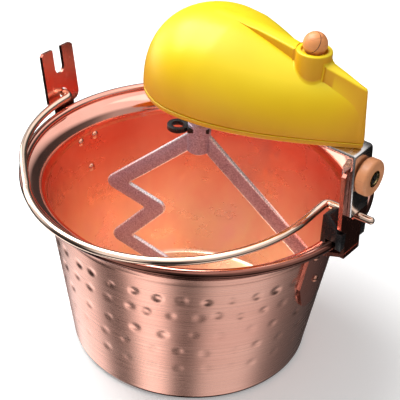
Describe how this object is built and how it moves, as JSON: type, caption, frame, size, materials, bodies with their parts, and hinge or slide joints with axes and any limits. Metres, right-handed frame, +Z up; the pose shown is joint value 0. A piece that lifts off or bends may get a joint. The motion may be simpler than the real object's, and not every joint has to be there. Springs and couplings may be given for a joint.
{
  "type": "electric stirring pot",
  "caption": "Copper cooking pot with two riveted lugs, a bail handle and a clamp-on motor head that turns a zigzag stirring paddle.",
  "frame": {"origin": "centre of the pot's base, on the surface that it stands on", "axes": "+Z up; +X towards the clamp lug under the motor head; the bail lies towards -Y"},
  "size_m": [0.304, 0.2739, 0.2933],
  "materials": {
    "copper_sheet": "hammered and brushed copper, polished inside",
    "steel_wire": "drawn steel",
    "copper_plate": "satin copper-plated steel",
    "copper_rivet": "satin copper",
    "black_plastic": "moulded, half gloss",
    "bail_copper": "polished copper plating",
    "plated_steel": "zinc-plated sheet",
    "screw_steel": "zinc-plated",
    "knob_wood": "turned beech, satin",
    "brass_insert": "machined",
    "yellow_plastic": "glossy moulded",
    "motor_steel": "zinc-plated",
    "shaft_steel": "ground",
    "gear_nylon": "moulded",
    "bronze_bush": "sintered bronze",
    "seal_rubber": "matte",
    "cast_aluminium": "die-cast, grainy, bright edges",
    "ball_wood": "turned beech, lacquered",
    "white_plastic": "moulded"
  },
  "bodies": {
    "pot": {"pot_body": "copper_sheet", "rim_wire": "steel_wire", "lug_left": "copper_plate", "lug_right": "copper_plate", "rivets_left": "copper_rivet", "rivets_right": "copper_rivet", "rim_saddle": "black_plastic"},
    "bail": {"bail_handle": "bail_copper"},
    "head": {"mounting_bracket": "plated_steel", "bracket_screws": "screw_steel", "locating_pin": "screw_steel", "clamp_bolt": "screw_steel", "lower_cover": "yellow_plastic", "upper_housing": "yellow_plastic", "housing_screws": "screw_steel", "motor_can": "motor_steel", "motor_screws": "screw_steel", "gear_plate": "plated_steel", "plate_posts": "plated_steel", "idler_axle": "shaft_steel", "shaft_bush": "bronze_bush", "shaft_seal": "seal_rubber", "switch_body": "black_plastic", "cord_gland": "seal_rubber", "terminal_block": "white_plastic", "button_spring": "shaft_steel"},
    "knob": {"clamp_knob": "knob_wood", "knob_insert": "brass_insert"},
    "drive": {"output_gear": "gear_nylon", "output_shaft": "shaft_steel", "circlip": "shaft_steel", "paddle": "cast_aluminium"},
    "idler": {"idler_gear": "gear_nylon"},
    "pinion": {"motor_pinion": "shaft_steel"},
    "clip": {"paddle_clip": "black_plastic"},
    "button": {"power_button": "ball_wood", "button_stem": "white_plastic"}
  },
  "joints": [
    {"name": "bail_swing", "type": "hinge", "parent": "pot", "child": "bail", "pos_m": [0, 0, 0.16675], "axis": [-0.9994, 0, -0.0344], "range_deg": [0, 58]},
    {"name": "head_lift", "type": "slide", "parent": "pot", "child": "head", "axis": [0, 0, 1], "range_m": [0, 0.2]},
    {"name": "paddle_spin", "type": "hinge", "parent": "head", "child": "drive", "pos_m": [0, 0, 0.2], "axis": [0, 0, 1], "continuous": true},
    {"name": "idler_spin", "type": "hinge", "parent": "head", "child": "idler", "pos_m": [0.022, 0, 0.23], "axis": [0, 0, 1], "continuous": true},
    {"name": "motor_spin", "type": "hinge", "parent": "head", "child": "pinion", "pos_m": [0.04, 0, 0.24], "axis": [0, 0, 1], "continuous": true},
    {"name": "knob_turn", "type": "hinge", "parent": "head", "child": "knob", "pos_m": [0.14, 0, 0.205], "axis": [1, 0, 0], "continuous": true},
    {"name": "clip_pull", "type": "slide", "parent": "drive", "child": "clip", "axis": [-0.788, -0.6157, 0], "range_m": [0, 0.008]},
    {"name": "button_press", "type": "slide", "parent": "head", "child": "button", "axis": [0, 0, -1], "range_m": [0, 0.003], "stiffness_N_per_m": 300, "springref_m": -0.002, "deforming": ["button_spring"]}
  ],
  "couplings": [
    {"joint": "idler_spin", "follows": "paddle_spin", "ratio": -2.6667},
    {"joint": "motor_spin", "follows": "paddle_spin", "ratio": 5.3333}
  ]
}
